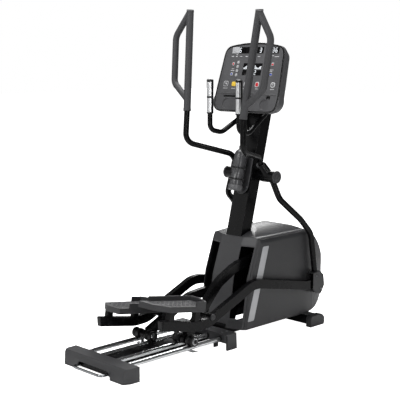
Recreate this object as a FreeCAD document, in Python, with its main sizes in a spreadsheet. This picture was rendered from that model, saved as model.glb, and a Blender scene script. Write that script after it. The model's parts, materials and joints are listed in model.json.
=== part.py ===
import FreeCAD, Part
import math
import os

from FreeCAD import Placement, Rotation, Vector

# Elliptical trainer. +X is the way the user faces, +Y the user's left, +Z up, millimetres.
# The origin is on the floor, under the middle of the machine.

doc = FreeCAD.newDocument("elliptical_trainer")
sheet = doc.addObject("Spreadsheet::Sheet", "Dims")

DRIVING = {
    # base frame
    "rear_x": -812.5, "spine_width": 70, "spine_height": 40, "spine_low": 20,
    "rod_radius": 12.5, "rod_inner_y": 60, "rod_outer_y": 157, "rod_z": 58,
    "rod_rear_x": -745, "rod_front_x": -75, "foot_half_width": 208, "foot_top": 88,
    "cover_half_width": 250, "cover_depth": 92, "cover_height": 76, "cover_wall": 3,
    "stab_x": 650, "stab_depth": 100, "stab_height": 48, "stab_low": 14, "stab_half_width": 205,
    "cap_width": 36, "cap_height": 66, "wheel_radius": 30, "wheel_width": 20,
    # linkage
    "crank_x": 594.5, "crank_z": 325, "crank_radius": 180, "rail_chord": 970, "roller_z": 90.5,
    "pivot_x": 341.5, "pivot_z": 892, "link_length": 720.3, "arm_length": 863,
    "joint_along": 130, "joint_above": 75,
    "bar_height": 50, "bar_width": 30, "bar_wall": 2.5, "rail_y": 104, "arm_y": 207,
    "roller_width": 46, "roller_flange": 27, "groove_radius": 12.8, "roller_axle": 8,
    "crank_arm_y": 71, "crank_arm_thick": 18, "crank_axle_radius": 15,
    # drive
    "pulley_radius": 120, "pulley_y": 24, "pulley_width": 22, "small_pulley": 18,
    "flywheel_x": 715, "flywheel_z": 240, "flywheel_radius": 100, "flywheel_y": -25,
    "flywheel_width": 28, "idler_radius": 16, "plate_y": 49, "plate_thick": 6,
    "belt_thick": 3, "belt_width": 18,
    # mast and console
    "mast_width": 112, "mast_depth": 74, "mast_wall": 3, "mast_foot_x": 68, "mast_lean": 14.25,
    "mast_top": 1236, "shaft_radius": 12.5, "hub_radius": 33,
    "console_x": 317, "console_z": 1430, "console_tilt": 15.5, "console_half_width": 236,
    "console_half_height": 200, "fascia_depth": 20, "back_depth": 48,
    # handles
    "tube_radius": 16, "link_radius": 17, "grip_radius": 20, "loop_radius": 18, "tube_wall": 2.5,
    "pulse_radius": 14, "sleeve_radius": 17, "sensor_radius": 18.2,
    # housing
    "housing_half_width": 180, "housing_wall": 3, "seam_y": 168, "front_seam_x": 700,
    "slot_inner_y": 80, "slot_outer_y": 158, "slot_low": 125, "slot_high": 515,
    # pedals and bottle
    "pedal_thick": 30, "pedal_inner_y": 42, "pedal_outer_y": 225, "tread_depth": 5,
    "bottle_radius": 36, "bottle_length": 240,
}
for row, (alias, value) in enumerate(DRIVING.items(), start=1):
    sheet.set("A%d" % row, alias)
    sheet.set("B%d" % row, str(value))
    sheet.setAlias("B%d" % row, alias)
doc.recompute()

NODES = []


def size(alias):
    """A driving dimension, read from the sheet."""
    return float(sheet.get(alias))


def keep(part, label):
    """Names a sub-part and puts it on the list of what is written."""
    part.Label = label
    NODES.append(part)
    return part


def at(x=0, y=0, z=0, axis=(0, 1, 0), turn=0):
    return Placement(Vector(x, y, z), Rotation(Vector(*axis), turn))


def bind(part, **expressions):
    for name, expression in expressions.items():
        part.setExpression(name, expression)


def piece(label, shape, place=None):
    """A sub-part whose shape is swept or cut here."""
    part = doc.addObject("Part::Feature", label)
    part.Shape = shape
    if place is not None:
        part.Placement = place
    return keep(part, label)


def sheet_box(name, length, width, height, place):
    part = doc.addObject("Part::Box", name)
    bind(part, Length=length, Width=width, Height=height)
    part.Placement = place
    return part


def sheet_cylinder(name, radius, height, place):
    part = doc.addObject("Part::Cylinder", name)
    bind(part, Radius=radius, Height=height)
    part.Placement = place
    return part


def joined(kind, name, base, tools):
    """A Cut or a MultiFuse of document objects."""
    part = doc.addObject(kind, name)
    if kind == "Part::Cut":
        part.Base, part.Tool = base, tools[0]
    else:
        part.Shapes = [base] + tools
    return part


def outline_edges(points):
    """Closed outline: a point (a, b) is a corner, and (a, b, "arc") is the middle of an arc."""
    edges = []
    count = len(points)
    index = 0
    while index < count:
        start = points[index]
        following = points[(index + 1) % count]
        if len(following) == 3:
            end = points[(index + 2) % count]
            edges.append(("arc", start, following, end))
            index += 2
        else:
            edges.append(("line", start, following))
            index += 1
    return edges


def sketch_on(body, role, name, outlines):
    """A sketch on one of the body's own origin planes."""
    sketch = body.newObject("Sketcher::SketchObject", name)
    plane = [feature for feature in body.Origin.OriginFeatures if feature.Role == role][0]
    sketch.AttachmentSupport = [(plane, "")]
    sketch.MapMode = "FlatFace"
    for outline in outlines:
        if outline[0] == "circle":
            centre = Vector(outline[1], outline[2], 0)
            sketch.addGeometry(Part.Circle(centre, Vector(0, 0, 1), outline[3]), False)
            continue
        for edge in outline_edges(outline):
            ends = [Vector(p[0], p[1], 0) for p in edge[1:]]
            curve = Part.Arc(*ends) if edge[0] == "arc" else Part.LineSegment(*ends)
            sketch.addGeometry(curve, False)
    return sketch


def padded_body(name, role, outlines, length, middle=True):
    """A Body with one sketch, padded by a length from the sheet."""
    body = doc.addObject("PartDesign::Body", name)
    pad = body.newObject("PartDesign::Pad", name + "_pad")
    pad.Profile = sketch_on(body, role, name + "_sketch", outlines)
    pad.Midplane = middle
    bind(pad, Length=length)
    return body


def rectangle(low_a, low_b, high_a, high_b):
    return [(low_a, low_b), (high_a, low_b), (high_a, high_b), (low_a, high_b)]


def bent_path(points, radii):
    """A wire of straight runs joined by tangent arcs."""
    points = [Vector(*p) for p in points]
    edges = []
    last = points[0]
    for index in range(1, len(points) - 1):
        corner = points[index]
        into = (corner - points[index - 1]).normalize()
        out = (points[index + 1] - corner).normalize()
        half = into.getAngle(out) / 2
        reach = radii[index - 1] * math.tan(half)
        first = corner - into * reach
        second = corner + out * reach
        inward = (out - into).normalize()
        middle = corner + inward * (radii[index - 1] / math.cos(half) - radii[index - 1])
        edges.append(Part.LineSegment(last, first).toShape())
        edges.append(Part.Arc(first, middle, second).toShape())
        last = second
    edges.append(Part.LineSegment(last, points[-1]).toShape())
    return Part.Wire(edges)


def swept(path, section):
    return path.makePipeShell([section], True, True)


def round_tube(points, radii, outer, inner=0):
    """A round tube along straight runs and arcs."""
    path = bent_path(points, radii) if len(points) > 2 else Part.Wire(
        [Part.LineSegment(Vector(*points[0]), Vector(*points[1])).toShape()])
    start = Vector(*points[0])
    heading = Vector(*points[1]) - start
    solid = swept(path, Part.Wire([Part.makeCircle(outer, start, heading)]))
    if inner:
        solid = solid.cut(swept(path, Part.Wire([Part.makeCircle(inner, start, heading)])))
    return solid


def bar_tube(points, radii, height, width, wall):
    """A rectangular tube that bends in the XZ plane, centred on Y = 0."""
    path = bent_path([(x, 0, z) for x, z in points], radii)
    start = Vector(points[0][0], 0, points[0][1])
    heading = Vector(points[1][0] - points[0][0], 0, points[1][1] - points[0][1]).normalize()
    across = Vector(-heading.z, 0, heading.x)

    def section(half_height, half_width):
        side = Vector(0, half_width, 0)
        rise = across * half_height
        corners = [start + side + rise, start - side + rise, start - side - rise, start + side - rise]
        return Part.makePolygon(corners + corners[:1])

    outer = swept(path, section(height / 2, width / 2))
    return outer.cut(swept(path, section(height / 2 - wall, width / 2 - wall)))


def disc(x, z, y_low, y_high, radius):
    """A cylinder along Y."""
    return Part.makeCylinder(radius, y_high - y_low, Vector(x, y_low, z), Vector(0, 1, 0))


def block(x_low, y_low, z_low, x_high, y_high, z_high):
    lengths = (x_high - x_low, y_high - y_low, z_high - z_low)
    return Part.makeBox(*lengths, Vector(x_low, y_low, z_low))


def flat_face(points, plane="XZ"):
    """A face from an outline in the XZ, XY or YZ plane."""
    spread = {"XZ": lambda p: Vector(p[0], 0, p[1]),
              "XY": lambda p: Vector(p[0], p[1], 0),
              "YZ": lambda p: Vector(0, p[0], p[1])}[plane]
    edges = []
    for edge in outline_edges(points):
        ends = [spread(p) for p in edge[1:]]
        curve = Part.Arc(*ends) if edge[0] == "arc" else Part.LineSegment(*ends)
        edges.append(curve.toShape())
    return Part.Face(Part.Wire(edges))


def prism(points, y_low, y_high):
    """An XZ outline carried from y_low to y_high."""
    face = flat_face(points)
    face.translate(Vector(0, y_low, 0))
    return face.extrude(Vector(0, y_high - y_low, 0))


def span(side, near, far):
    """The Y interval from near to far on one side of the middle."""
    return (near, far) if side > 0 else (-far, -near)


SIDES = {"right": -1, "left": 1}

# ---------------------------------------------------------------- linkage at rest
# The right crank is at the top and the left one at the bottom. Each rail arm runs from a
# roller on the rods to its crank pin. Each pedal arm runs from a pivot on the rail arm to
# the foot of a swinging link. Every place below follows from the driving lengths.


def circle_meet(a, ra, b, rb):
    """The meeting point of two circles that lies further forward."""
    dx, dz = b[0] - a[0], b[1] - a[1]
    gap = math.hypot(dx, dz)
    along = (ra * ra - rb * rb + gap * gap) / (2 * gap)
    off = math.sqrt(ra * ra - along * along)
    foot = (a[0] + along * dx / gap, a[1] + along * dz / gap)
    meets = [(foot[0] + s * off * dz / gap, foot[1] - s * off * dx / gap) for s in (1, -1)]
    return max(meets)


def linkage(crank_angle):
    """Crank pin, roller, pedal pivot and link foot for one side, in the XZ plane."""
    pin = (size("crank_x") + size("crank_radius") * math.cos(crank_angle),
           size("crank_z") + size("crank_radius") * math.sin(crank_angle))
    rise = pin[1] - size("roller_z")
    run = math.sqrt(size("rail_chord") ** 2 - rise ** 2)
    roller = (pin[0] - run, size("roller_z"))
    tilt = math.atan2(rise, run)
    along, above = size("joint_along"), size("joint_above")
    pivot = (roller[0] + along * math.cos(tilt) - above * math.sin(tilt),
             roller[1] + along * math.sin(tilt) + above * math.cos(tilt))
    foot = circle_meet(pivot, size("arm_length"), (size("pivot_x"), size("pivot_z")), size("link_length"))
    reach = math.atan2(foot[1] - pivot[1], foot[0] - pivot[0])
    return {"pin": pin, "roller": roller, "rail_tilt": tilt,
            "joint": pivot, "foot": foot, "arm_tilt": reach}


REST = {"right": linkage(math.pi / 2), "left": linkage(-math.pi / 2)}


def turned_place(point, y, angle):
    """Local X goes along a link that climbs at this angle."""
    return at(point[0], y, point[1], turn=-math.degrees(angle))


# ---------------------------------------------------------------- base frame
def make_base():
    half_width, low = size("spine_width") / 2, size("spine_low")
    high, wall = low + size("spine_height"), 3
    sheet.set("C1", "spine_length")
    sheet.set("D1", str(size("stab_x") - size("stab_depth") / 2 - size("rod_rear_x")))
    sheet.setAlias("D1", "spine_length")
    doc.recompute()
    spine = padded_body("base_spine", "YZ_Plane", [
        rectangle(-half_width, low, half_width, high),
        rectangle(-half_width + wall, low + wall, half_width - wall, high - wall)],
        "Dims.spine_length", middle=False)
    spine.Placement = at(x=size("rod_rear_x"))
    keep(spine, "base_spine")

    rear = sheet_box("rear_beam", "50", "2 * (Dims.cover_half_width - 30)", "62", at(-795, -220, 10))
    hollow = sheet_box("rear_beam_hollow", "42", "2 * Dims.cover_half_width", "54", at(-791, -250, 14))
    keep(joined("Part::Cut", "rear_stabiliser", rear, [hollow]), "rear_stabiliser")

    rods = []
    for side in SIDES.values():
        for row in ("rod_inner_y", "rod_outer_y"):
            place = at(size("rod_rear_x"), side * size(row), size("rod_z"), turn=90)
            rod = sheet_cylinder("rod", "Dims.rod_radius", "Dims.rod_front_x - Dims.rod_rear_x", place)
            rods.append(rod)
    keep(joined("Part::MultiFuse", "rail_rods", rods[0], rods[1:]), "rail_rods")

    stab_low, stab_high = size("stab_low"), size("stab_low") + size("stab_height")
    rear_x, front_x = size("stab_x") - size("stab_depth") / 2, size("stab_x") + size("stab_depth") / 2
    cross = padded_body("front_stabiliser", "XZ_Plane", [
        [(rear_x, stab_low), (front_x, stab_low), (front_x, stab_high - 14), (front_x - 14, stab_high),
         (rear_x + 8, stab_high), (rear_x, stab_high - 8)],
        [(rear_x + 4, stab_low + 4), (front_x - 4, stab_low + 4), (front_x - 4, stab_high - 16),
         (front_x - 16, stab_high - 4), (rear_x + 10, stab_high - 4), (rear_x + 4, stab_high - 10)]],
        "2 * Dims.stab_half_width")
    keep(cross, "front_stabiliser")


def make_mid_foot():
    """Cross bridge that carries the front ends of the rods, with outer and inner legs."""
    half, top = size("foot_half_width"), size("foot_top")
    back = size("rod_front_x")
    front = back + 76
    low, spine_top = size("spine_low"), size("spine_low") + size("spine_height")
    bridge = block(back, -half, top - 6, front, half, top)
    flange = block(back, -half + 8, 40, back + 6, half - 8, top - 6)
    packer = block(back + 6, -30, spine_top, front, 30, top - 6)
    notch = block(back - 5, -size("spine_width") / 2, low, front + 5, size("spine_width") / 2, spine_top)
    shape = bridge.fuse([flange, packer]).cut(notch)
    leg = [(back + 6, top - 3), (front, top - 3), (front + 6, 0), (back + 8, 0)]
    inner_leg = [(back + 6, top - 3), (back + 50, top - 3), (back + 34, 0), (back + 6, 0)]
    for side in SIDES.values():
        shape = shape.fuse(prism(leg, *span(side, half - 12, half)))
        shape = shape.fuse(prism(inner_leg, *span(side, 104, 112)))
    piece("mid_foot", shape.removeSplitter())


def make_rear_cover():
    """Moulded shell over the rear beam, arched over the lift handle and open to the front."""
    back, half = size("rear_x"), size("cover_half_width")
    height, wall = size("cover_height"), size("cover_wall")
    front = back + size("cover_depth")
    outer_side = [(back, 0), (back + 6, height - 12), (back + 16, height), (front, height), (front, 0)]
    outer = prism(outer_side, -half, half)
    ends = flat_face([(back - 5, -half + 24), (back + 34, -half + 4), (front + 5, -half), (front + 5, half),
                      (back + 34, half - 4), (back - 5, half - 24)], "XY")
    outer = outer.common(ends.extrude(Vector(0, 0, height + 10)))
    inner_side = [(back + wall, -5), (back + 8, height - 13), (back + 17, height - wall),
                  (front + 5, height - wall), (front + 5, -5)]
    inner = prism(inner_side, -half, half)
    core = flat_face([(back + 2, -half + 25), (back + 36, -half + 7), (front + 8, -half + wall),
                      (front + 8, half - wall), (back + 36, half - 7), (back + 2, half - 25)], "XY")
    core = core.extrude(Vector(0, 0, height + 20))
    core.translate(Vector(0, 0, -10))
    arch = flat_face([(-130, -5), (-130, 12), (-112, 40), (112, 40), (130, 12), (130, -5)], "YZ")
    arch.translate(Vector(back - 10, 0, 0))
    shape = outer.cut(inner.common(core)).cut(arch.extrude(Vector(40, 0, 0)))
    piece("rear_cover", shape)
    reach, bar_y, bar_z, bar = -850.5, 110, 24, 7
    handle = round_tube([(-795, -bar_y, bar_z), (reach, -bar_y, bar_z), (reach, bar_y, bar_z),
                         (-795, bar_y, bar_z)], [22, 22], bar)
    piece("lift_handle", handle)


def make_end_caps():
    """Caps that stand on the floor and fork round the transport wheels."""
    inner = size("stab_half_width")
    outer = inner + size("cap_width")
    top = size("cap_height")
    caps = []
    profile = [(594, 0), (714, 0), (720, 12), (720, 40), (706, 58), (690, top), (606, top), (594, 52)]
    wheel_x, wheel_z = 690, 34
    middle = (inner + outer) / 2
    for name, side in SIDES.items():
        cap = prism(profile, *span(side, inner, outer))
        slot = span(side, middle - size("wheel_width") / 2 - 2, middle + size("wheel_width") / 2 + 2)
        cap = cap.cut(block(655, slot[0], -5, 730, slot[1], 80))
        caps.append(cap.fuse(disc(wheel_x, wheel_z, slot[0] - 1, slot[1] + 1, 5)))
        wheel_span = span(side, middle - size("wheel_width") / 2, middle + size("wheel_width") / 2)
        wheel = disc(wheel_x, wheel_z, *wheel_span, size("wheel_radius"))
        wheel = wheel.makeFillet(4, [e for e in wheel.Edges if e.Curve.TypeId == "Part::GeomCircle"])
        wheel = wheel.cut(disc(wheel_x, wheel_z, slot[0], slot[1], 5.06))
        piece("transport_wheel_" + name, wheel)
    piece("stabiliser_end_caps", Part.makeCompound(caps))


# ---------------------------------------------------------------- mast
def mast_rear_x(z):
    return size("mast_foot_x") + (z - 60) * math.tan(math.radians(size("mast_lean")))


def mast_frame(z):
    """Placement on the mast's rear face at a height, local Z along the mast."""
    return at(mast_rear_x(z), 0, z, turn=size("mast_lean"))


def make_mast():
    half, depth, wall = size("mast_width") / 2, size("mast_depth"), size("mast_wall")
    tube = padded_body("mast_tube", "XY_Plane", [
        rectangle(0, -half, depth, half),
        rectangle(wall, -half + wall, depth - wall, half - wall)], "1340", middle=False)
    tube.Placement = mast_frame(-38)
    level = sheet_box("mast_level", "1000", "400", "Dims.mast_top - 60", at(-100, -200, 60))
    trimmed = doc.addObject("Part::Common", "mast_trimmed")
    trimmed.Base, trimmed.Tool = tube, level
    bore = sheet_cylinder("mast_bore", "Dims.shaft_radius", "400", at(
        size("pivot_x"), 200, size("pivot_z"), axis=(1, 0, 0), turn=90))
    keep(joined("Part::Cut", "mast", trimmed, [bore]), "mast")

    x, z = size("pivot_x"), size("pivot_z")
    collars = [disc(x, z, *span(side, half, 84), 30).cut(disc(x, z, -90, 90, size("shaft_radius")))
               for side in SIDES.values()]
    piece("mast_cross_tube", Part.makeCompound(collars))
    shaft = sheet_cylinder("pivot_shaft", "Dims.shaft_radius", "358",
                           at(x, 179, z, axis=(1, 0, 0), turn=90))
    keep(shaft, "pivot_shaft")


def make_bottle():
    """Bottle in a wire cage on the mast's rear face, lifted out along the mast."""
    radius, length = size("bottle_radius"), size("bottle_length")
    stand, place = 54, mast_frame(802)
    axis_x = -stand
    bottle = Part.makeCylinder(radius, length - 22, Vector(axis_x, 0, 4))
    shoulder = Part.makeCone(radius, 19, 14, Vector(axis_x, 0, length - 18))
    neck = Part.makeCylinder(17, 12, Vector(axis_x, 0, length - 4))
    piece("bottle", bottle.fuse([shoulder, neck]), place)
    grip, rim = radius + 0.6, radius + 4
    cup = Part.makeCylinder(rim, 30, Vector(axis_x, 0, 0)).cut(
        Part.makeCylinder(grip, 40, Vector(axis_x, 0, 3.6)))
    plate = block(-6, -50, -12, 0, 50, 215)
    cage = plate.fuse(cup)
    for level in (58, 120):
        ring = Part.makeCylinder(rim, 9, Vector(axis_x, 0, level)).cut(
            Part.makeCylinder(grip, 9, Vector(axis_x, 0, level)))
        cage = cage.fuse([ring, block(-15.5, -9, level, -5, 9, level + 9)])
    cage = cage.fuse(block(-15.5, -9, 2, -5, 9, 28))
    cage = cage.cut(Part.makeCylinder(grip, 260, Vector(axis_x, 0, 3.6)))
    piece("bottle_cage", cage, place)


# ---------------------------------------------------------------- console
def make_console():
    half, tall = size("console_half_width"), size("console_half_height")
    place = at(size("console_x"), 0, size("console_z"), turn=size("console_tilt"))
    foot = tall - 8

    def face_outline(inset):
        w, top, low = half - inset, tall - inset, -foot + inset
        return [(-w, -100), (-w + 14, low + 14, "arc"), (-w + 62, low), (w - 62, low),
                (w - 14, low + 14, "arc"), (w, -100), (w - 16, top - 62), (w - 30, top - 30, "arc"),
                (w - 62, top - 16), (0, top, "arc"), (-w + 62, top - 16), (-w + 30, top - 30, "arc"),
                (-w + 16, top - 62)]

    back_x = size("fascia_depth")
    front = flat_face(face_outline(0), "YZ").extrude(Vector(back_x, 0, 0))
    slot = block(-5, -84, -111, 9, 170, -100)
    port = block(-5, -176, -116, 9, -150, -97)
    cups = [Part.makeCylinder(28, 3, Vector(0, side * 140, -146), Vector(1, 0, 0))
            for side in SIDES.values()]
    pocket = flat_face(face_outline(3.5), "YZ").extrude(Vector(back_x, 0, 0))
    pocket.translate(Vector(12, 0, 0))
    overlay_face = [(-206, -84), (206, -84), (204, 120), (180, 168), (160, 182), (-160, 182), (-180, 168),
                    (-204, 120)]
    recess = flat_face(overlay_face, "YZ").extrude(Vector(1.5, 0, 0))
    fascia = front.cut([slot, port, pocket, recess, *cups])
    piece("console_fascia", fascia, place)
    piece("console_overlay", recess, place)
    back = Part.makeLoft([flat_face(face_outline(0), "YZ").OuterWire.translated(Vector(back_x, 0, 0)),
                          flat_face(face_outline(16), "YZ").OuterWire.translated(
                              Vector(back_x + size("back_depth"), 0, 0))], True, True)
    hollow = Part.makeLoft([flat_face(face_outline(4), "YZ").OuterWire.translated(Vector(back_x - 1, 0, 0)),
                            flat_face(face_outline(19), "YZ").OuterWire.translated(
                                Vector(back_x + size("back_depth") - 3, 0, 0))], True, True)
    piece("console_back", back.cut(hollow), place)
    rear = back_x + size("back_depth")
    lean = math.radians(size("console_tilt"))

    def on_back(height):
        return (size("console_x") + rear * math.cos(lean) + height * math.sin(lean),
                size("console_z") - rear * math.sin(lean) + height * math.cos(lean))

    top = size("mast_top")
    neck = [on_back(-120), on_back(50), (458, 1420), (mast_rear_x(top) + 76, top), (mast_rear_x(top), top)]
    bracket = padded_body("console_bracket", "XZ_Plane", [neck], "100")
    keep(bracket, "console_bracket")


def make_pulse_bars():
    """Fixed handlebars with steel contact sleeves for the pulse reading."""
    radius = size("pulse_radius")
    tubes, sleeves, sensors = [], [], []
    for side in SIDES.values():
        x, y = 117.5, side * 108
        tubes.append(round_tube([(x, y, 1412), (x, y, 1150), (200, side * 98, 1132), (372, side * 72, 1232),
                                 (410, side * 50, 1252)], [42, 60, 22], radius, radius - 2))
        sleeve = Part.makeCylinder(size("sleeve_radius"), 182, Vector(x, y, 1238))
        sleeve = sleeve.cut(Part.makeCylinder(radius, 174, Vector(x, y, 1238)))
        sleeves.append(sleeve.fuse(Part.makeCylinder(size("sensor_radius"), 10, Vector(x, y, 1412))))
        for low in (1246, 1333):
            ring = Part.makeCylinder(size("sensor_radius"), 78, Vector(x, y, low))
            sensors.append(ring.cut(Part.makeCylinder(size("sleeve_radius"), 78, Vector(x, y, low))))
    half, top = size("mast_width") / 2, size("mast_top")
    inside = block(330, -half, 1150, 450, half, top).fuse(block(330, -50, top, 450, 50, 1350))
    piece("pulse_bar", Part.makeCompound(tubes).cut(inside))
    piece("pulse_grips", Part.makeCompound(sleeves))
    piece("pulse_sensors", Part.makeCompound(sensors))


# ---------------------------------------------------------------- drive
def belt_loop(grow):
    """Outline of two pulleys and their common tangents, each radius grown."""
    large = (size("crank_x"), size("crank_z"), size("pulley_radius") + grow)
    small = (size("flywheel_x"), size("flywheel_z"), size("small_pulley") + grow)
    gap = math.hypot(small[0] - large[0], small[1] - large[1])
    heading = math.atan2(small[1] - large[1], small[0] - large[0])
    spread = math.acos((large[2] - small[2]) / gap)
    y_low, y_high = size("pulley_y") - size("belt_width") / 2, size("pulley_y") + size("belt_width") / 2
    corners = []
    for wheel, sign in ((large, 1), (small, 1), (small, -1), (large, -1)):
        corners.append((wheel[0] + wheel[2] * math.cos(heading + sign * spread),
                        wheel[1] + wheel[2] * math.sin(heading + sign * spread)))
    solid = prism(corners, y_low, y_high)
    return solid.fuse([disc(w[0], w[1], y_low, y_high, w[2]) for w in (large, small)])


def make_drive():
    x, z = size("crank_x"), size("crank_z")
    fly_x, fly_z = size("flywheel_x"), size("flywheel_z")
    axle = size("crank_axle_radius")
    plate_low = size("plate_y") - size("plate_thick") / 2
    plate_high = size("plate_y") + size("plate_thick") / 2
    top = size("spine_low") + size("spine_height")
    beam_top = size("stab_low") + size("stab_height")
    beam_rear = size("stab_x") - size("stab_depth") / 2
    web = [(500, top), (560, 345), (594, 362, "arc"), (628, 345), (735, 262), (752, 240, "arc"), (735, 218),
           (700, beam_top), (beam_rear - 2, beam_top), (beam_rear - 2, top)]
    plates = []
    for side in SIDES.values():
        y_low, y_high = span(side, plate_low, plate_high)
        plate = prism(web, y_low, y_high).cut(disc(x, z, y_low, y_high, 22))
        plates.append(plate.cut(disc(fly_x, fly_z, y_low, y_high, 8)))
        foot_low, foot_high = span(side, size("spine_width") / 2, plate_low)
        plates[-1] = plates[-1].fuse(block(500, foot_low, top - 12, 590, foot_high, top - 4))
        plates[-1] = plates[-1].fuse(block(500, y_low, top - 12, 590, y_high, top + 2))
    bearings = [disc(x, z, *span(side, plate_low, plate_high), 22).cut(
        disc(x, z, -90, 90, axle + 0.05)) for side in SIDES.values()]
    piece("crank_bearings", Part.makeCompound(bearings))
    flywheel_axle = sheet_cylinder("flywheel_axle", "8", "2 * (Dims.plate_y + Dims.plate_thick / 2 + 2)",
                                   at(fly_x, plate_high + 2, fly_z, axis=(1, 0, 0), turn=90))
    keep(flywheel_axle, "flywheel_axle")

    crank_inner = size("crank_arm_y") - size("crank_arm_thick") / 2
    crank_outer = crank_inner + size("crank_arm_thick")
    crank_axle = sheet_cylinder("crank_axle", "Dims.crank_axle_radius", "2 * Dims.crank_arm_y + 12",
                                at(x, crank_outer - 3, z, axis=(1, 0, 0), turn=90))
    keep(crank_axle, "crank_axle")
    for name, side in SIDES.items():
        y_low, y_high = span(side, crank_inner, crank_outer)
        pin = REST[name]["pin"]
        reach = pin[1] - z
        arm = block(x - 17, y_low, min(z, z + reach), x + 17, y_high, max(z, z + reach))
        arm = arm.fuse([disc(x, z, y_low, y_high, 28), disc(pin[0], pin[1], y_low, y_high, 22)])
        piece("crank_arm_" + name, arm.cut([disc(x, z, y_low, y_high, axle),
                                            disc(pin[0], pin[1], y_low, y_high, 10)]))
    half = size("pulley_width") / 2
    wheel = disc(x, z, size("pulley_y") - half, size("pulley_y") + half, size("pulley_radius"))
    wheel = wheel.cut(disc(x, z, size("pulley_y") - half, size("pulley_y") - 3, 105))
    wheel = wheel.cut(disc(x, z, size("pulley_y") + 3, size("pulley_y") + half, 105))
    wheel = wheel.fuse(disc(x, z, size("pulley_y") - half, size("pulley_y") + half, 30))
    for turn in range(0, 360, 72):
        hole_x = x + 68 * math.cos(math.radians(turn))
        hole_z = z + 68 * math.sin(math.radians(turn))
        wheel = wheel.cut(disc(hole_x, hole_z, 0, 60, 24))
    piece("drive_pulley", wheel.cut(disc(x, z, 0, 60, axle)))

    fly_half = size("flywheel_width") / 2
    low, high = size("flywheel_y") - fly_half, size("flywheel_y") + fly_half
    rotor = disc(fly_x, fly_z, low, high, size("flywheel_radius"))
    rotor = rotor.cut([disc(fly_x, fly_z, low, low + 8, 70), disc(fly_x, fly_z, high - 8, high, 70)])
    rotor = rotor.fuse([disc(fly_x, fly_z, low, size("pulley_y") + half, 14),
                        disc(fly_x, fly_z, size("pulley_y") - half, size("pulley_y") + half,
                             size("small_pulley"))])
    piece("flywheel", rotor.cut(disc(fly_x, fly_z, -60, 60, 8.06)))
    band = belt_loop(0.3 + size("belt_thick")).cut(belt_loop(0.3))
    piece("drive_belt", band)

    gap = math.hypot(fly_x - x, fly_z - z)
    heading = math.atan2(fly_z - z, fly_x - x)
    spread = math.acos((size("pulley_radius") - size("small_pulley")) / gap)
    normal = heading - spread
    out = size("pulley_radius") + 0.6 + size("belt_thick") + size("idler_radius")
    run = 55
    idler_x = x + out * math.cos(normal) - run * math.sin(normal)
    idler_z = z + out * math.sin(normal) + run * math.cos(normal)
    idler = disc(idler_x, idler_z, size("pulley_y") - 10, size("pulley_y") + 10, size("idler_radius"))
    piece("idler_pulley", idler.cut(disc(idler_x, idler_z, 0, 60, 5.06)))
    stud = disc(idler_x, idler_z, 13, plate_low, 5).fuse(disc(idler_x, idler_z, 36, plate_low, 9))
    plates[1] = plates[1].fuse([stud, disc(idler_x, idler_z, plate_low, plate_high, 14)])
    piece("drive_frame", Part.makeCompound(plates))
    ring = disc(fly_x, fly_z, low - 3, high + 3, 116).cut(disc(fly_x, fly_z, low - 3, high + 3, 104))
    ring = ring.common(prism([(fly_x, fly_z), (fly_x + 60, fly_z + 130), (fly_x - 20, fly_z + 130)],
                             low - 3, high + 3))
    leg = block(fly_x - 4, -plate_low, fly_z + 18, fly_x + 16, -plate_low + 3.5, fly_z + 112)
    piece("brake_magnets", ring.fuse(leg))


# ---------------------------------------------------------------- housing
HOUSING_REAR = [(66, 72), (74, 100), (112, 347), (175, 527), (190, 562)]


def rear_corners(inset):
    """What is cut away so that the rear face sweeps forward from its flat middle to both sides."""
    stations = [(60, 40), *HOUSING_REAR, (230, 660)]
    half = size("housing_half_width")
    lofts = []
    for side in SIDES.values():
        wires = []
        for x, z in stations:
            inner = side * (size("slot_inner_y") - 2 - inset)
            ring = [(x - 60, inner), (x + inset, inner), (x + 24 + inset, side * (half - 18)),
                    (x + 44 + inset, side * (half + 2)), (x + 44 + inset, side * (half + 30)),
                    (x - 60, side * (half + 30))]
            wires.append(flat_face(ring, "XY").translated(Vector(0, 0, z)).OuterWire)
        lofts.append(Part.makeLoft(wires, True, True))
    return lofts


def housing_solid(inset):
    """The closed outer form, or the same form set inwards by a wall."""
    half = size("housing_half_width")
    side = HOUSING_REAR + [(390, 606, "arc"), (565, 590), (745, 476, "arc"), (857.5, 308),
                           (828, 175, "arc"), (690, 80), (630, 72)]
    plan = [(0, -half), (590, -half), (720, -165, "arc"), (820, -130), (872, -80), (872, 80), (820, 130),
            (720, 165, "arc"), (590, half), (0, half)]
    front = [(-half, 0), (-half, 535), (-half + 10, 556, "arc"), (-half + 34, 566), (0, 604, "arc"),
             (half - 34, 566), (half - 10, 556, "arc"), (half, 535), (half, 0)]
    faces = []
    for points, plane in ((side, "XZ"), (plan, "XY"), (front, "YZ")):
        face = flat_face(points, plane)
        faces.append(face.makeOffset2D(-inset) if inset else face)
    reach = 1200
    along_y = faces[0].translated(Vector(0, -reach / 2, 0)).extrude(Vector(0, reach, 0))
    along_z = faces[1].extrude(Vector(0, 0, reach))
    along_x = faces[2].extrude(Vector(reach, 0, 0))
    return along_y.common(along_z).common(along_x).cut(rear_corners(inset))


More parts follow.
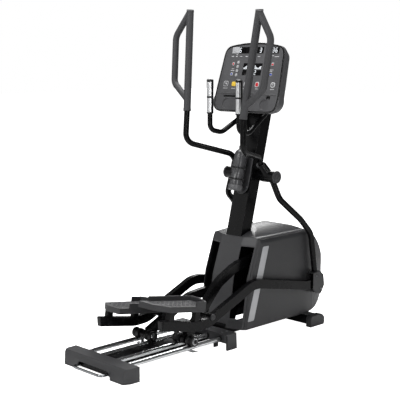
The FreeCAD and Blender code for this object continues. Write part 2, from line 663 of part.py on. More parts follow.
def make_housing():
    shell = housing_solid(0).cut(housing_solid(size("housing_wall")))
    seam, split = size("seam_y"), size("front_seam_x")
    opening = block(40, -62, 60, 800, 62, 90)
    half = size("mast_width") / 2 + 1
    mast_hole = block(-1, -half, -200, size("mast_depth") + 1, half, 900)
    mast_hole.Placement = mast_frame(60)
    shell = shell.cut([opening, mast_hole])
    for side in SIDES.values():
        y_low, y_high = span(side, size("slot_inner_y"), size("slot_outer_y"))
        shell = shell.cut(block(60, y_low, size("slot_low"), 330, y_high, size("slot_high")))
    far = 1200
    for name, side in SIDES.items():
        y_low, y_high = span(side, seam, far)
        part = shell.common(block(0, y_low, 0, far, y_high, far))
        piece("housing_" + name, part)
    piece("housing_centre", shell.common(block(0, -seam, 0, split, seam, far)))
    piece("housing_front", shell.common(block(split, -seam, 0, far, seam, far)))
    strips = []
    outer = size("housing_half_width")
    for side in SIDES.values():
        strip = [(120, 115), (170, 115), (289.5, 517), (240.5, 517)]
        strips.append(prism(strip, *span(side, outer, outer + 1.5)))
    piece("trim_strips", Part.makeCompound(strips))


# ---------------------------------------------------------------- one side of the linkage
def make_swing(name, side):
    """Link below the pivot, hub, collar, handle tube and grip. They turn as one."""
    rest = REST[name]
    x, z, foot = size("pivot_x"), size("pivot_z"), rest["foot"]
    arm_y, radius = size("arm_y"), size("link_radius")
    swing = math.atan2(foot[0] - x, z - foot[1])
    base = math.atan2(324, 643.4)
    place = at(x, 0, z, turn=math.degrees(base - swing))
    foot_z = -size("link_length") * math.cos(base)
    foot_x = size("link_length") * math.sin(base)
    hub = disc(0, 0, *span(side, 85, 178), size("hub_radius"))
    link_path = [(0, side * 150, -12), (18, side * 192, -122), (183, side * arm_y, -252),
                 (282, side * arm_y, -347), (foot_x, side * arm_y, foot_z + 52)]
    link = round_tube(link_path, [60, 120, 110], radius, radius - 2.5)
    collar = Part.makeCone(26, 30, 72, Vector(-29, side * 97, 63), Vector(29, side * 31, -63))
    plug = Part.makeCylinder(size("tube_radius"), 40, Vector(-29, side * 97, 63),
                             Vector(29, side * 31, -63))
    tube_start = [(-18, side * 114.5, 39), (-29, side * 97, 63), (-60, side * 107, 108)]
    plug = plug.fuse(round_tube(tube_start, [30], size("tube_radius")))
    ears = [prism([(foot_x - 21, foot_z), (foot_x, foot_z - 21, "arc"), (foot_x + 21, foot_z),
                   (foot_x + 8, foot_z + 62), (foot_x - 24, foot_z + 62)], *span(side, low, low + 6))
            for low in (arm_y - 17, arm_y + 11)]
    bridge = block(foot_x - 20, min(side * (arm_y - 17), side * (arm_y + 17)), foot_z + 48,
                   foot_x + 10, max(side * (arm_y - 17), side * (arm_y + 17)), foot_z + 56)
    pin = disc(foot_x, foot_z, *span(side, arm_y - 16, arm_y + 16), 8)
    bore = disc(0, 0, *span(side, 80, 180), size("shaft_radius") + 0.05)
    swing_arm = hub.fuse([link, collar, *ears, bridge, pin]).cut([bore, plug])
    piece("swing_arm_" + name, swing_arm, place)
    cap = disc(0, 0, *span(side, 179.5, 190), 34.5)
    cap = cap.fuse(disc(0, 0, *span(side, 178, 180), 31)).cut(disc(0, 0, *span(side, 175, 179.4), 14))
    cap = cap.cut(round_tube(link_path, [60, 120, 110], radius + 0.5))
    piece("hub_cap_" + name, cap, place)

    low, high = (-315, 343), (-269, 900)
    low_y, high_y = 224, 290

    def on_bar(height):
        part = (height - low[1]) / (high[1] - low[1])
        return (low[0] + part * (high[0] - low[0]), side * (low_y + part * (high_y - low_y)), height)

    inner = size("tube_radius") - size("tube_wall")
    tube = round_tube([*tube_start, (-315, side * 222, 163), (low[0], side * low_y, low[1]), on_bar(871)],
                      [30, 55, 60, 200], size("tube_radius"), inner)
    piece("handlebar_" + name, tube, place)
    bar = round_tube([on_bar(336), on_bar(high[1])], [], size("grip_radius"))

    def bulge(height, out=108):
        point = on_bar(height)
        return (point[0], point[1] + side * out, point[2])

    loop = round_tube([on_bar(883), bulge(746), bulge(486), on_bar(396)], [70, 60], size("loop_radius"))
    tip = block(-400, -600, high[1] - 7, 0, 600, 1200)
    grip = bar.fuse(loop).cut(tip)
    core = round_tube([(low[0] - 0.5, side * low_y, low[1] - 20), on_bar(871)], [], size("tube_radius"))
    piece("handlebar_grip_" + name, grip.cut([core, tube]), place)

    shroud_y = span(side, arm_y - 19.5, arm_y + 25)
    outline = [(foot_x - 44, foot_z + 66), (foot_x + 14, foot_z + 74), (foot_x + 50, foot_z + 46),
               (foot_x + 58, foot_z - 16), (foot_x + 30, foot_z - 62), (foot_x - 18, foot_z - 56),
               (foot_x - 44, foot_z - 30)]
    shroud = prism(outline, *shroud_y)
    hollow = prism([(foot_x - 90, foot_z + 58), (foot_x + 12, foot_z + 70), (foot_x + 46, foot_z + 42),
                    (foot_x + 54, foot_z - 15), (foot_x + 28, foot_z - 58), (foot_x - 90, foot_z - 62)],
                   *span(side, arm_y - 17.2, arm_y + 22))
    neck = round_tube(link_path, [60, 120, 110], radius + 1)
    piece("link_shroud_" + name, shroud.cut([hollow, neck]), place)


def make_pedal_arm(name, side):
    """Bent bar from the pedal to the link's foot, with the pedal standing on two posts."""
    rest = REST[name]
    arm_y = size("arm_y")
    place = turned_place(rest["joint"], 0, rest["arm_tilt"])
    length = size("arm_length")
    spine = [(-345, 33), (-120, -24), (-30, -28), (340, 107), (770, 6), (length - 30, 0)]
    bar = bar_tube(spine, [150, 170, 180, 80], size("bar_height"), size("bar_width"), size("bar_wall"))
    bar.translate(Vector(0, side * arm_y, 0))
    eye_low, eye_high = span(side, arm_y - 10, arm_y + 10)
    bar_low, bar_high = span(side, arm_y - 15, arm_y + 15)
    eye = block(length - 36, eye_low, -20, length, eye_high, 20)
    eye = eye.fuse(disc(length, 0, eye_low, eye_high, 20))
    end_plate = block(length - 34, bar_low, -25, length - 28, bar_high, 25)
    stub = disc(0, 0, *span(side, size("rail_y") + 17, arm_y - 14), 12)
    lug = disc(0, 0, *span(side, arm_y - 15, arm_y + 17), 18)
    tail = block(-351, bar_low, 8, -344, bar_high, 59)
    shape = bar.fuse([eye, end_plate, stub, lug, tail])
    pitch = 12
    pedal_place = at(-341, 0, 131, turn=pitch)
    for along in (55, 235):
        post_span = span(side, arm_y - 14, arm_y + 14)
        post = block(along, post_span[0], -size("pedal_thick") - 52, along + 34, post_span[1],
                     -size("pedal_thick"))
        post.Placement = pedal_place
        shape = shape.fuse(post)
    shape = shape.cut(disc(length, 0, *span(side, arm_y - 20, arm_y + 20), 8.06))
    piece("pedal_arm_" + name, shape, place)

    inner, outer = size("pedal_inner_y"), size("pedal_outer_y")
    thick, tread = size("pedal_thick"), size("tread_depth")
    plan = [(0, inner), (350, inner), (372, inner + 8), (372, inner + 60), (316, outer - 20),
            (300, outer), (52, outer), (8, outer - 62), (0, outer - 80)]

    def slab(points, low, high):
        face = flat_face([(x, side * y) for x, y in points], "XY")
        return face.translated(Vector(0, 0, low)).extrude(Vector(0, 0, high - low))

    deck = slab(plan, -thick, 0)
    wall = [(60, inner), (350, inner), (372, inner + 8), (372, inner + 60), (316, outer - 20), (300, outer),
            (232, outer), (232, outer - 8), (294, outer - 8), (306, outer - 24), (360, inner + 58),
            (360, inner + 14), (346, inner + 9), (78, inner + 9)]
    tread_plan = [(14, inner + 16), (340, inner + 16), (352, inner + 22), (352, inner + 56),
                  (304, outer - 28), (292, outer - 14), (60, outer - 14), (18, outer - 72)]
    rim = slab(wall, -4, 24)
    seat = slab(tread_plan, -tread, 0)
    underside = slab([(12, inner + 12), (340, inner + 12), (358, inner + 58), (298, outer - 12),
                      (62, outer - 12), (16, outer - 74)], -thick, -thick + 16)
    posts = slab([(50, outer - 34), (294, outer - 34), (294, outer - 8), (50, outer - 8)],
                 -thick, -thick + 16)
    pedal = deck.fuse(rim).cut(seat).cut(underside.cut(posts))
    combined = place.multiply(pedal_place)
    piece("pedal_" + name, pedal, combined)
    piece("pedal_tread_" + name, seat, combined)


def make_rail_arm(name, side):
    """Bent bar from the roller axle to the crank pin."""
    rest = REST[name]
    rail_y, length = size("rail_y"), size("rail_chord")
    half = size("bar_width") / 2
    place = turned_place(rest["roller"], 0, rest["rail_tilt"])
    spine = [(20, 6), (330, 128), (480, 132), (length - 24, 6)]
    bar = bar_tube(spine, [200, 200], size("bar_height"), size("bar_width"), size("bar_wall"))
    bar.translate(Vector(0, side * rail_y, 0))
    y_low, y_high = span(side, rail_y - half, rail_y + half)
    rear_eye = disc(0, 0, y_low, y_high, 24)
    front_eye = disc(length, 0, y_low, y_high, 22)
    lug = disc(size("joint_along"), size("joint_above"), y_low, y_high, 19)
    crank_face = size("crank_arm_y") + size("crank_arm_thick") / 2
    pin = disc(length, 0, *span(side, crank_face + 1.5, rail_y), 10)
    plugs = [disc(40, 14, y_low, y_high, 24), disc(length - 30, 8, y_low, y_high, 22)]
    shape = bar.fuse([rear_eye, front_eye, lug, pin] + plugs)
    piece("rail_arm_" + name, shape.cut(disc(0, 0, y_low, y_high, size("roller_axle") + 0.05)), place)


def make_rollers(name, side):
    """Axle with its keeper, and the two grooved rollers that run on the rods."""
    x, z = REST[name]["roller"]
    axle = size("roller_axle")
    half, flange = size("roller_width") / 2, size("roller_flange")
    reach = size("roller_z") - size("rod_z")
    wheels, inner_y, outer_y = [], size("rod_inner_y"), size("rod_outer_y")
    for row in (inner_y, outer_y):
        wheel = disc(x, z, *span(side, row - half, row + half), flange)
        groove = Part.makeTorus(reach, size("groove_radius"), Vector(x, side * row, z), Vector(0, 1, 0))
        wheels.append(wheel.cut(groove).cut(disc(x, z, -250, 250, axle + 0.05)))
    piece("rail_rollers_" + name, Part.makeCompound(wheels))
    bar = disc(x, z, *span(side, inner_y - half - 5, outer_y + half + 6), axle)
    washers = [disc(x, z, *span(side, inner_y - half - 4, inner_y - half - 1), 14),
               disc(x, z, *span(side, outer_y + half + 1, outer_y + half + 5), 14)]
    hanger_y = span(side, outer_y - half - 8, outer_y - half - 4)
    hanger = prism([(x - 10, z), (x + 10, z), (x + 12, 36), (x - 6, 32)], *hanger_y)
    hook_y = span(side, outer_y - half - 8, outer_y + 14)
    hook = block(x - 6, hook_y[0], 32, x + 12, hook_y[1], 36)
    lip = prism([(x + 12, 36), (x + 12, 32), (x + 34, 25), (x + 34, 29)], *hook_y)
    piece("roller_axle_" + name, bar.fuse(washers + [hanger, hook, lip]))


make_base()
make_mid_foot()
make_rear_cover()
make_end_caps()
make_mast()
make_bottle()
make_console()
make_pulse_bars()
make_drive()
make_housing()
for side_name, side_sign in SIDES.items():
    make_swing(side_name, side_sign)
    make_pedal_arm(side_name, side_sign)
    make_rail_arm(side_name, side_sign)
    make_rollers(side_name, side_sign)
doc.recompute()

for item in doc.Objects:
    if "Invalid" in item.State or "Error" in item.State:
        raise RuntimeError("object failed: " + item.Label)
os.makedirs("parts", exist_ok=True)
labels = [node.Label for node in NODES]
if len(set(labels)) != len(labels) or len(labels) > 60:
    raise RuntimeError("labels repeat or are too many: %d" % len(labels))
for node in NODES:
    if node.Shape.isNull() or not node.Shape.isValid() or not node.Shape.Solids:
        raise RuntimeError("bad shape: " + node.Label)
    node.Shape.exportStep("parts/%s.step" % node.Label)
print("%d sub-parts written" % len(NODES))
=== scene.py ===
import json
import math

import bmesh
import bpy
import numpy as np
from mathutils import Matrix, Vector


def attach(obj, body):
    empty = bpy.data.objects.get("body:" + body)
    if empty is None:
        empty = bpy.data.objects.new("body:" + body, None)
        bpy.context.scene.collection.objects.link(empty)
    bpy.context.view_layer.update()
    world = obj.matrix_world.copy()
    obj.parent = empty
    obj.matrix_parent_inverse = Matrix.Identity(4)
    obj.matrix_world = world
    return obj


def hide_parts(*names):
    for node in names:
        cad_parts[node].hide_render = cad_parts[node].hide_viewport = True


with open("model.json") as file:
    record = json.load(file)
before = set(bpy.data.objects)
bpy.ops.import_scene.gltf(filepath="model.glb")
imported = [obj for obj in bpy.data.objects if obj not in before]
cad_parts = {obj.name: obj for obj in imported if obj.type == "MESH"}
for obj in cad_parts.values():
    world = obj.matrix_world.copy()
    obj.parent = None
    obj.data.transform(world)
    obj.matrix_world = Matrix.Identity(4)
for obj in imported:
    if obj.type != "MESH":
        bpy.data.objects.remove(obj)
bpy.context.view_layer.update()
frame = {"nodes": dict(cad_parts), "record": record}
NODES = frame["nodes"]
SIDES = {"right": -1, "left": 1}
MM = 0.001
CREASE = math.radians(35)
BEVEL_FROM = math.radians(40)
MAST_LEAN = 14.25
LINK_LENGTH = 720.3
HUB_BASE, ARM_Y = 179.5, 207
RODS_Y = (-157, -60, 60, 157)


# ------------------------------------------------------------------ camera and light
def build_camera():
    """Looks from behind the user's right shoulder, slightly down, at the object's middle."""
    azimuth, elevation = math.radians(-44.763), math.radians(8.539)
    back = Vector((math.sin(azimuth) * math.cos(elevation),
                   -math.cos(azimuth) * math.cos(elevation), math.sin(elevation)))
    data = bpy.data.cameras.new("camera")
    data.lens = 86.3
    data.sensor_width = 36
    data.clip_end = 60
    camera = bpy.data.objects.new("camera", data)
    camera.location = (-3.6345, -3.597, 1.55)
    camera.rotation_euler = back.to_track_quat("Z", "Y").to_euler()
    bpy.context.scene.collection.objects.link(camera)
    bpy.context.scene.camera = camera


def area_light(name, place, target, width, height, power):
    """A rectangular lamp at a place, facing a target."""
    data = bpy.data.lights.new(name, "AREA")
    data.shape = "RECTANGLE"
    data.size, data.size_y = width, height
    data.energy = power
    light = bpy.data.objects.new(name, data)
    light.location = place
    light.rotation_euler = (Vector(place) - Vector(target)).to_track_quat("Z", "Y").to_euler()
    bpy.context.scene.collection.objects.link(light)


def build_studio():
    """Background that is white for the camera alone, and soft panels above, around and behind."""
    world = bpy.data.worlds.new("studio")
    world.use_nodes = True
    world.node_tree.nodes["Background"].inputs[0].default_value = (1.0, 1.0, 1.0, 1)
    bpy.context.scene.world = world
    bpy.context.scene.view_settings.view_transform = "Standard"
    tree = world.node_tree
    seen = add(tree, "ShaderNodeLightPath").outputs["Is Camera Ray"]
    shade = add(tree, "ShaderNodeMapRange", {"To Min": 0.16, "To Max": 1.0}, {"Value": seen})
    tree.links.new(shade.outputs[0], tree.nodes["Background"].inputs[1])
    area_light("top_panel", (0.3, 0.5, 3.4), (0.1, 0, 0.3), 2.0, 1.2, 85)
    area_light("key_panel", (-3.4, 0.4, 3.0), (0, 0, 0.8), 1.2, 1.2, 46)
    area_light("left_panel", (-2.5, 2.7, 1.5), (0.1, 0, 0.9), 1.5, 2.4, 11)
    area_light("right_panel", (0.7, -3.2, 2.9), (0.2, 0, 0.6), 0.6, 1.2, 20)
    area_light("right_strip", (-1.9, -3.9, 2.0), (0.1, 0, 0.8), 0.16, 2.6, 44)
    area_light("left_strip", (-4.2, -1.2, 1.9), (0.1, 0, 0.9), 0.22, 2.6, 22)
    area_light("rim_panel", (2.6, 2.2, 2.6), (0, 0, 0.9), 1.2, 1.8, 60)


# ------------------------------------------------------------------ materials
def linear(hex_colour):
    """sRGB hex string to linear RGBA."""
    parts = [int(hex_colour[i:i + 2], 16) / 255 for i in (1, 3, 5)]
    return [c / 12.92 if c <= 0.04045 else ((c + 0.055) / 1.055) ** 2.4 for c in parts] + [1.0]


def add(tree, kind, settings=None, links=None):
    """Adds a node, sets its properties or input values, and links its inputs."""
    node = tree.nodes.new(kind)
    for key, value in (settings or {}).items():
        if isinstance(key, str) and hasattr(node, key):
            setattr(node, key, value)
        else:
            node.inputs[key].default_value = value
    for key, socket in (links or {}).items():
        tree.links.new(socket, node.inputs[key])
    return node


MATERIALS = {}


def moulding(name, dark, light, roughness, grain_mm, depth, metallic=0.0, specular=0.5, edge_mm=1.5,
             glow=0.0):
    """A surface whose colour and roughness drift a little, with a fine grain in relief and edges that
    catch the light as if rounded to so many millimetres."""
    material = bpy.data.materials.new(name)
    material.use_nodes = True
    tree = material.node_tree
    tree.nodes.clear()
    place = add(tree, "ShaderNodeTexCoord").outputs["Object"]
    drift = add(tree, "ShaderNodeTexNoise", {"Scale": 9.0, "Detail": 3.0}, {"Vector": place})
    grain = add(tree, "ShaderNodeTexNoise",
                {"Scale": 1000 / grain_mm / 2, "Detail": 2.0, "Roughness": 0.6}, {"Vector": place})
    speck = add(tree, "ShaderNodeMath", {"operation": "MULTIPLY_ADD", 1: 0.35},
                {0: grain.outputs["Fac"], 2: drift.outputs["Fac"]})
    colour = add(tree, "ShaderNodeMix", {"data_type": "RGBA", "A": linear(dark), "B": linear(light)})
    tree.links.new(speck.outputs[0], colour.inputs[0])
    rough = add(tree, "ShaderNodeMapRange", {"From Min": 0.3, "From Max": 0.9, "To Min": roughness - 0.05,
                                             "To Max": roughness + 0.06}, {"Value": speck.outputs[0]})
    rounded = add(tree, "ShaderNodeBevel", {"samples": 4, "Radius": edge_mm * MM})
    relief = add(tree, "ShaderNodeBump", {"Strength": depth, "Distance": grain_mm * MM * 0.3},
                 {"Height": grain.outputs["Fac"], "Normal": rounded.outputs[0]})
    shader = add(tree, "ShaderNodeBsdfPrincipled", {"Metallic": metallic},
                 {"Base Color": colour.outputs["Result"], "Roughness": rough.outputs[0],
                  "Normal": relief.outputs[0]})
    if not metallic:
        shader.inputs["Specular IOR Level"].default_value = specular
    if glow:
        tree.links.new(colour.outputs["Result"], shader.inputs["Emission Color"])
        shader.inputs["Emission Strength"].default_value = glow
    add(tree, "ShaderNodeOutputMaterial", links={"Surface": shader.outputs[0]})
    MATERIALS[name] = material
    return material


def build_materials():
    # Polyester powder coat on steel: near black, semi-matt, faint orange peel about 2 mm across.
    moulding("powder_coat_black", "#040405", "#080809", 0.24, 2.0, 0.03, edge_mm=3, specular=0.16)
    # The same coat in dark grey on the mid foot and collar rims.
    moulding("powder_coat_grey", "#2a2a2c", "#38383a", 0.42, 2.0, 0.12, edge_mm=3)
    # Hard chrome on ground rod: mirror-like, its tone drifting slightly.
    moulding("hard_chrome", "#d4d6d8", "#f0f1f2", 0.1, 2.0, 0.0, metallic=1.0)
    # Polished stainless lift handle.
    moulding("polished_stainless", "#77797b", "#97999b", 0.16, 0.6, 0.0, metallic=1.0)
    # Turned steel: shafts, washers and screw heads.
    moulding("turned_steel", "#606264", "#8c8e90", 0.3, 0.6, 0.1, metallic=1.0, edge_mm=0.8)
    # Satin stainless of the pulse sensors.
    moulding("satin_stainless", "#dcdddf", "#f0f1f2", 0.3, 2.0, 0.0, metallic=1.0)
    # Spark-eroded ABS: charcoal with a fine even grain.
    moulding("textured_abs_charcoal", "#232324", "#2d2d2f", 0.42, 0.8, 0.25, edge_mm=10)
    # The same ABS in a lighter grey on the crown of the housing, a painted highlight where the top light
    # falls on it; the covers are moulded a shade lighter too.
    moulding("abs_crown_painted_highlight", "#2e2e30", "#3a3a3c", 0.42, 0.8, 0.25, edge_mm=8)
    moulding("textured_abs_cover", "#29292b", "#343436", 0.44, 0.8, 0.25, edge_mm=4)
    # Painted ABS of the console: mid grey in front, and a slightly darker copy of the same grey on the
    # rear shell, painted shade for the console's side turned from the lamps.
    moulding("console_abs_grey", "#424244", "#4e4e50", 0.46, 0.7, 0.2, edge_mm=3)
    moulding("console_abs_rear_painted_shade", "#3c3c3e", "#4a4a4c", 0.46, 0.7, 0.2, edge_mm=6)
    # Satin silver lacquer of the trim strips and display badge.
    moulding("silver_lacquer", "#a4a5a8", "#b6b7b9", 0.42, 0.8, 0.05, metallic=0.25)
    # Polyester keypad film over the fascia.
    moulding("keypad_film", "#444446", "#505052", 0.42, 0.4, 0.08, edge_mm=0.6)
    # Dipped foam grip: soft, matt, slightly lighter than the steel.
    moulding("dipped_foam", "#2f2f31", "#3c3c3e", 0.6, 1.2, 0.3, edge_mm=3)
    # Cut and sealed end of the dipped grip.
    moulding("tip_cap_grey", "#646466", "#767678", 0.5, 1.2, 0.2)
    # Glass-filled nylon: rollers, sleeves, cage and pulleys.
    moulding("glass_filled_nylon", "#0a0a0b", "#121213", 0.32, 0.8, 0.12, specular=0.35)
    # The same nylon left unpainted and bead blasted: bottle cup.
    moulding("blasted_nylon", "#4a4a4c", "#58585a", 0.4, 0.8, 0.15)
    # Chopped-strand polypropylene pedal, matt and fine grained.
    moulding("pedal_polypropylene", "#242425", "#303032", 0.5, 0.9, 0.3, edge_mm=3)
    # Vulcanised rubber: pedal tread, wheel tyres and belt.
    moulding("tread_rubber", "#343436", "#444446", 0.5, 1.0, 0.3, edge_mm=1)
    moulding("tyre_rubber", "#101011", "#1a1a1b", 0.6, 1.0, 0.3)
    # Blow-moulded polyethylene bottle: smooth, slightly waxy.
    moulding("bottle_polyethylene", "#343436", "#48484a", 0.24, 2.0, 0.1)
    # Machined grey iron of the flywheel.
    moulding("machined_iron", "#4a4b4c", "#66686a", 0.34, 0.8, 0.1, metallic=1.0)
    # High-gloss black: frame round the console's face and louvres, and the black sheets set in the slot
    # and port, which are painted shade.
    moulding("gloss_black", "#050506", "#0a0a0b", 0.16, 0.5, 0.02)
    # Tinted acrylic over the display windows.
    moulding("display_glass", "#020203", "#060607", 0.08, 0.5, 0.01, edge_mm=0.5)
    # Lit display segments.
    moulding("display_white", "#c8cdd2", "#e2e6ea", 0.4, 0.5, 0.02, edge_mm=0.2, glow=0.5)
    # Silk-screened inks of the labels and keys.
    moulding("pale_print", "#b4b4b6", "#c8c8ca", 0.45, 0.5, 0.05, edge_mm=0.3)
    moulding("white_key", "#8e8e90", "#a8a8aa", 0.4, 0.5, 0.05, edge_mm=0.6)
    moulding("red_key", "#a81c24", "#c42a32", 0.4, 0.5, 0.05, edge_mm=0.6)
    moulding("blue_key", "#2a3c8c", "#3a4ea4", 0.4, 0.5, 0.05, edge_mm=0.6)
    moulding("yellow_key", "#d0a828", "#e6c040", 0.4, 0.5, 0.05, edge_mm=0.6)


SLOT_FINISH = {
    "frame_steel": "powder_coat_black", "frame_grey": "powder_coat_grey", "chrome_rod": "hard_chrome",
    "chrome_handle": "polished_stainless", "bright_steel": "turned_steel",
    "cover_plastic": "textured_abs_cover", "cap_plastic": "textured_abs_charcoal",
    # housing_top takes the lighter copy of the ABS, a painted highlight of the top light on the crown.
    "housing_plastic": "textured_abs_charcoal", "housing_top": "abs_crown_painted_highlight",
    "silver_trim": "silver_lacquer", "console_plastic": "console_abs_grey",
    # console_shell takes the darker copy of the console grey, painted shade on the rear shell.
    "console_shell": "console_abs_rear_painted_shade", "keypad_film": "keypad_film",
    "grip_black": "glass_filled_nylon", "sensor_steel": "satin_stainless",
    "cage_plastic": "glass_filled_nylon", "bottle_plastic": "bottle_polyethylene",
    "belt_rubber": "tyre_rubber", "pulley_plastic": "glass_filled_nylon",
    "flywheel_iron": "machined_iron", "grip_rubber": "dipped_foam",
    "pedal_plastic": "pedal_polypropylene", "tread_rubber": "tread_rubber",
    "roller_nylon": "glass_filled_nylon", "wheel_rubber": "tyre_rubber",
}


NODE_SLOT = {entry["node"]: entry["material_slot"] for entry in frame["record"]["subparts"]}


def finish_nodes():
    """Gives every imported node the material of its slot."""
    for node_name, slot_name in NODE_SLOT.items():
        data = NODES[node_name].data
        data.materials.clear()
        data.materials.append(MATERIALS[SLOT_FINISH[slot_name]])


# ------------------------------------------------------------------ shapes, in millimetres
def put(points, origin=(0, 0, 0), turn=0.0):
    """Local points turned by so many degrees about Y, X towards -Z, then moved to the origin."""
    angle = math.radians(turn)
    points = np.asarray(points, float)
    x = points[..., 0] * math.cos(angle) + points[..., 2] * math.sin(angle)
    z = points[..., 2] * math.cos(angle) - points[..., 0] * math.sin(angle)
    return np.stack([x, points[..., 1], z], -1) + np.asarray(origin, float)


def skin(grid, capped=True):
    """Quads over a grid of points, rows along the shape and columns round it, with flat end faces."""
    rows, cols = grid.shape[:2]
    row = np.arange(rows - 1)[:, None] * cols
    col = np.arange(cols)[None, :]
    after = (col + 1) % cols
    quads = np.stack([row + col, row + after, row + cols + after, row + cols + col], -1).reshape(-1, 4)
    faces = quads.tolist()
    if capped:
        faces.append(list(range(cols))[::-1])
        faces.append(list(range((rows - 1) * cols, rows * cols)))
    return grid.reshape(-1, 3), faces


def gather(shapes):
    """Several shapes as one."""
    points, faces, start = [], [], 0
    for part_points, part_faces in shapes:
        points.append(part_points)
        faces += [[start + i for i in face] for face in part_faces]
        start += len(part_points)
    return np.concatenate(points), faces


def copies(shape, places):
    """The same small shape moved to each place."""
    points, faces = shape
    places = np.asarray(places, float)
    moved = (points[None] + places[:, None]).reshape(-1, 3)
    step = len(points)
    return moved, [[i + step * n for i in face] for n in range(len(places)) for face in faces]


def softened(corners, radius, steps=6):
    """Closed outline whose corners are parabolas that touch both sides a radius from the corner."""
    corners = np.asarray(corners, float)
    before, after = np.roll(corners, 1, 0) - corners, np.roll(corners, -1, 0) - corners
    reach = np.minimum(radius, 0.49 * np.minimum(np.linalg.norm(before, axis=1),
                                                 np.linalg.norm(after, axis=1)))[:, None]
    start = corners + before / np.linalg.norm(before, axis=1)[:, None] * reach
    end = corners + after / np.linalg.norm(after, axis=1)[:, None] * reach
    s = np.linspace(0, 1, steps)[None, :, None]
    curve = (1 - s) ** 2 * start[:, None] + 2 * s * (1 - s) * corners[:, None] + s ** 2 * end[:, None]
    return curve.reshape(-1, 2)


def box_outline(width, height, radius, centre=(0, 0)):
    """A rectangle about a centre, its corners softened."""
    w, h = width / 2, height / 2
    return softened([(-w, -h), (w, -h), (w, h), (-w, h)], radius) + np.asarray(centre, float)


def ring_outline(radius, count=32):
    """A circle as evenly spaced points: radius times cosine, radius times sine."""
    a = np.linspace(0, 2 * np.pi, count, endpoint=False)
    return np.stack([radius * np.cos(a), radius * np.sin(a)], -1)


AXES = {"user": [(0, 1, 0), (0, 0, 1), (-1, 0, 0)], "front": [(0, 1, 0), (0, 0, 1), (1, 0, 0)],
        "right": [(1, 0, 0), (0, 0, 1), (0, -1, 0)], "left": [(1, 0, 0), (0, 0, 1), (0, 1, 0)],
        "up": [(1, 0, 0), (0, 1, 0), (0, 0, 1)]}


def slab(outline, low, high, edge, facing):
    """An outline raised from low to high, its rim rolled over by an edge radius.

    Each row is the outline moved inwards along its own normals by edge * (1 - cos) while it climbs
    by edge * sin, so the rim is a quarter of a circle at both faces."""
    outline = np.asarray(outline, float)
    along = np.roll(outline, -1, 0) - np.roll(outline, 1, 0)
    inward = np.stack([-along[:, 1], along[:, 0]], -1)
    inward /= np.maximum(np.linalg.norm(inward, axis=1), 1e-9)[:, None]
    x, y = outline[:, 0], outline[:, 1]
    area = np.sum(x * np.roll(y, -1) - y * np.roll(x, -1))
    inward *= 1 if area > 0 else -1
    a = np.radians([0, 30, 60, 90])
    inset = np.concatenate([edge * (1 - np.sin(a)), edge * (1 - np.cos(a))])
    level = np.concatenate([low + edge * (1 - np.cos(a)), high - edge * (1 - np.sin(a))])
    flat = outline[None] + inward[None] * inset[:, None, None]
    height = np.broadcast_to(level[:, None], flat.shape[:2])
    local = np.concatenate([flat, height[..., None]], -1)
    return skin(local @ np.array(AXES[facing], float))


def turned(profile, centre, facing, count=40):
    """A profile of (radius, height) pairs turned once round an axis; its ends lie on it or meet."""
    profile = np.asarray(profile, float)
    a = np.linspace(0, 2 * np.pi, count, endpoint=False)
    local = np.stack([profile[:, :1] * np.cos(a), profile[:, :1] * np.sin(a),
                      np.broadcast_to(profile[:, 1:], (len(profile), count))], -1)
    return skin(local @ np.array(AXES[facing], float) + np.asarray(centre, float), capped=False)


def loop_ring(radius, thick, centre, facing, count=48, sides=12):
    """A torus: a circle of half the thickness carried round a circle of the radius."""
    a = np.linspace(0, 2 * np.pi, count, endpoint=False)[:, None]
    b = np.linspace(0, 2 * np.pi, sides, endpoint=False)[None]
    reach = radius + thick / 2 * np.cos(b)
    local = np.stack([reach * np.cos(a), reach * np.sin(a), np.broadcast_to(thick / 2 * np.sin(b),
                                                                            (count, sides))], -1)
    grid = np.concatenate([local, local[:1]]) @ np.array(AXES[facing], float)
    return skin(grid + np.asarray(centre, float), capped=False)


def carried(section, path, side_way):
    """A closed section carried along a path: its first axis is square to the path and as near as it
    can be to side_way, its second is square to both."""
    path = np.asarray(path, float)
    ahead = np.gradient(path, axis=0)
    ahead /= np.linalg.norm(ahead, axis=1)[:, None]
    side_way = np.asarray(side_way, float)
    first = side_way - (ahead @ side_way)[:, None] * ahead
    first /= np.linalg.norm(first, axis=1)[:, None]
    second = np.cross(ahead, first)
    section = np.asarray(section, float)
    return skin(path[:, None] + first[:, None] * section[None, :, :1]
                + second[:, None] * section[None, :, 1:])


def make(name, body, finish, shapes, origin=(0, 0, 0), turn=0.0, stands_for=()):
    """One piece from shapes in a local frame: doubles merged, normals outward, sharp edges kept."""
    points, faces = gather(shapes)
    mesh = bpy.data.meshes.new(name)
    mesh.from_pydata((put(points, origin, turn) * MM).tolist(), [], faces)
    build = bmesh.new()
    build.from_mesh(mesh)
    bmesh.ops.remove_doubles(build, verts=build.verts, dist=2e-6)
    bmesh.ops.dissolve_degenerate(build, edges=build.edges, dist=1e-6)
    bmesh.ops.recalc_face_normals(build, faces=build.faces)
    for edge in build.edges:
        edge.smooth = edge.calc_face_angle(0) < CREASE
    for face in build.faces:
        face.smooth = True
    build.to_mesh(mesh)
    build.free()
    mesh.materials.append(MATERIALS[finish])
    piece = bpy.data.objects.new(name, mesh)
    bpy.context.scene.collection.objects.link(piece)
    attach(piece, body)
    if stands_for:
        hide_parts(*stands_for)


ROUNDED = {
    "root": {"base_spine": 4, "front_stabiliser": 5, "mid_foot": 6, "rear_cover": 9,
             "stabiliser_end_caps": 7, "mast": 7, "console_fascia": 2, "console_back": 7,
             "console_bracket": 4},
    "swing_": {"link_shroud_": 5}, "pedal_arm_": {"pedal_arm_": 4, "pedal_": 3},
    "rail_arm_": {"rail_arm_": 3},
}


